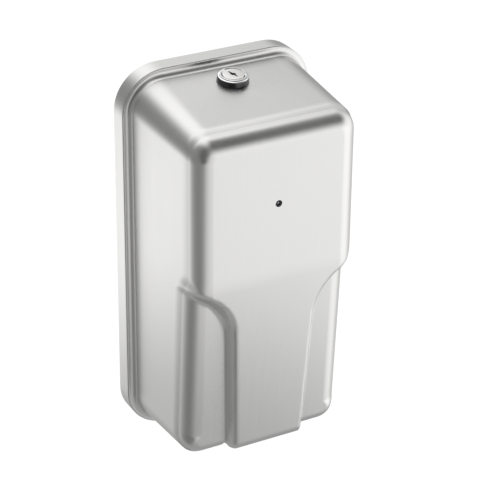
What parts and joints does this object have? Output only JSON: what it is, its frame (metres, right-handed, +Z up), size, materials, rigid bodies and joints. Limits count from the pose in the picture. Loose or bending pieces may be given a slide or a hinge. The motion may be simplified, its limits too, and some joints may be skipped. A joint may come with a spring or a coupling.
{
  "type": "wall mounted soap dispenser",
  "caption": "Automatic wall soap dispenser: a steel cover hinged at its foot and locked on top, over a chassis with reservoir, gear pump, batteries and hand sensor.",
  "frame": {"origin": "centre of the back plate's rear face, on the wall plane", "axes": "+Z up, +Y into the wall, -Y is the front, +X to the right seen from the front"},
  "size_m": [0.155, 0.1106, 0.3],
  "materials": {
    "cover_steel": "satin",
    "lock_chrome": "polished",
    "zinc_plate": "satin",
    "motor_can": "satin",
    "tank_plastic": "translucent",
    "dark_plastic": "matte",
    "lamp_plastic": "gloss",
    "grey_plastic": "matte",
    "gear_plastic": "satin",
    "board": "gloss",
    "tube_rubber": "satin",
    "cell_jacket": "satin"
  },
  "bodies": {
    "back_unit": {"back_plate": "cover_steel", "hinge_leaf_fixed": "zinc_plate", "hinge_pin": "zinc_plate", "strike_bracket": "zinc_plate", "chassis": "grey_plastic", "chassis_screw_1": "zinc_plate", "chassis_screw_2": "zinc_plate", "chassis_screw_3": "zinc_plate", "chassis_screw_4": "zinc_plate", "reservoir": "tank_plastic", "lid_pin": "zinc_plate", "battery_box": "dark_plastic", "battery_door": "dark_plastic", "battery_1": "cell_jacket", "battery_2": "cell_jacket", "battery_3": "cell_jacket", "battery_4": "cell_jacket", "battery_contact_left": "zinc_plate", "battery_contact_right": "zinc_plate", "control_board": "board", "board_spacer_1": "grey_plastic", "board_spacer_2": "grey_plastic", "power_switch_body": "dark_plastic", "sensor_housing": "dark_plastic", "infrared_emitter": "dark_plastic", "infrared_receiver": "dark_plastic", "motor": "motor_can", "gear_plate_rear": "grey_plastic", "gear_plate_front": "grey_plastic", "pump_body": "grey_plastic", "pump_cover": "grey_plastic", "pump_screw_1": "zinc_plate", "pump_screw_2": "zinc_plate", "pump_screw_3": "zinc_plate", "pump_screw_4": "zinc_plate", "idler_pin": "zinc_plate", "inlet_tube": "tube_rubber", "outlet_tube": "tube_rubber", "nozzle": "dark_plastic"},
    "cover": {"cover": "cover_steel", "hinge_leaf_cover": "zinc_plate", "lock_housing": "lock_chrome", "lock_nut": "zinc_plate", "indicator_holder": "dark_plastic", "indicator_lamp": "lamp_plastic"},
    "lock": {"lock_plug": "lock_chrome", "lock_cam": "zinc_plate", "lock_cam_screw": "zinc_plate"},
    "lid": {"reservoir_lid": "dark_plastic"},
    "pump_drive": {"pump_shaft": "zinc_plate", "reduction_gear": "gear_plastic", "pump_drive_gear": "gear_plastic"},
    "pinion": {"motor_shaft": "zinc_plate", "motor_pinion": "gear_plastic"},
    "idler": {"pump_idler_gear": "gear_plastic"},
    "switch": {"power_switch_slider": "gear_plastic"}
  },
  "joints": [
    {"name": "cover_hinge", "type": "hinge", "parent": "back_unit", "child": "cover", "pos_m": [0, -0.006, -0.1457], "axis": [1, 0, 0], "range_deg": [0, 95]},
    {"name": "lock_turn", "type": "hinge", "parent": "cover", "child": "lock", "pos_m": [0, -0.04, 0.14041], "axis": [0, 0.1225, -0.9925], "range_deg": [0, 90]},
    {"name": "lid_hinge", "type": "hinge", "parent": "back_unit", "child": "lid", "pos_m": [0, -0.033, 0.0815], "axis": [-1, 0, 0], "range_deg": [0, 90]},
    {"name": "pump_shaft_spin", "type": "hinge", "parent": "back_unit", "child": "pump_drive", "pos_m": [0.034, -0.0725, -0.094], "axis": [0, 1, 0], "continuous": true},
    {"name": "pinion_spin", "type": "hinge", "parent": "back_unit", "child": "pinion", "pos_m": [0.034, -0.0725, -0.074], "axis": [0, 1, 0], "continuous": true},
    {"name": "idler_spin", "type": "hinge", "parent": "back_unit", "child": "idler", "pos_m": [0.034, -0.0725, -0.106], "axis": [0, 1, 0], "continuous": true},
    {"name": "switch_slide", "type": "slide", "parent": "back_unit", "child": "switch", "axis": [1, 0, 0], "range_m": [0, 0.0042]}
  ],
  "couplings": [
    {"joint": "pinion_spin", "follows": "pump_shaft_spin", "ratio": -2.3333},
    {"joint": "idler_spin", "follows": "pump_shaft_spin", "ratio": -1}
  ]
}
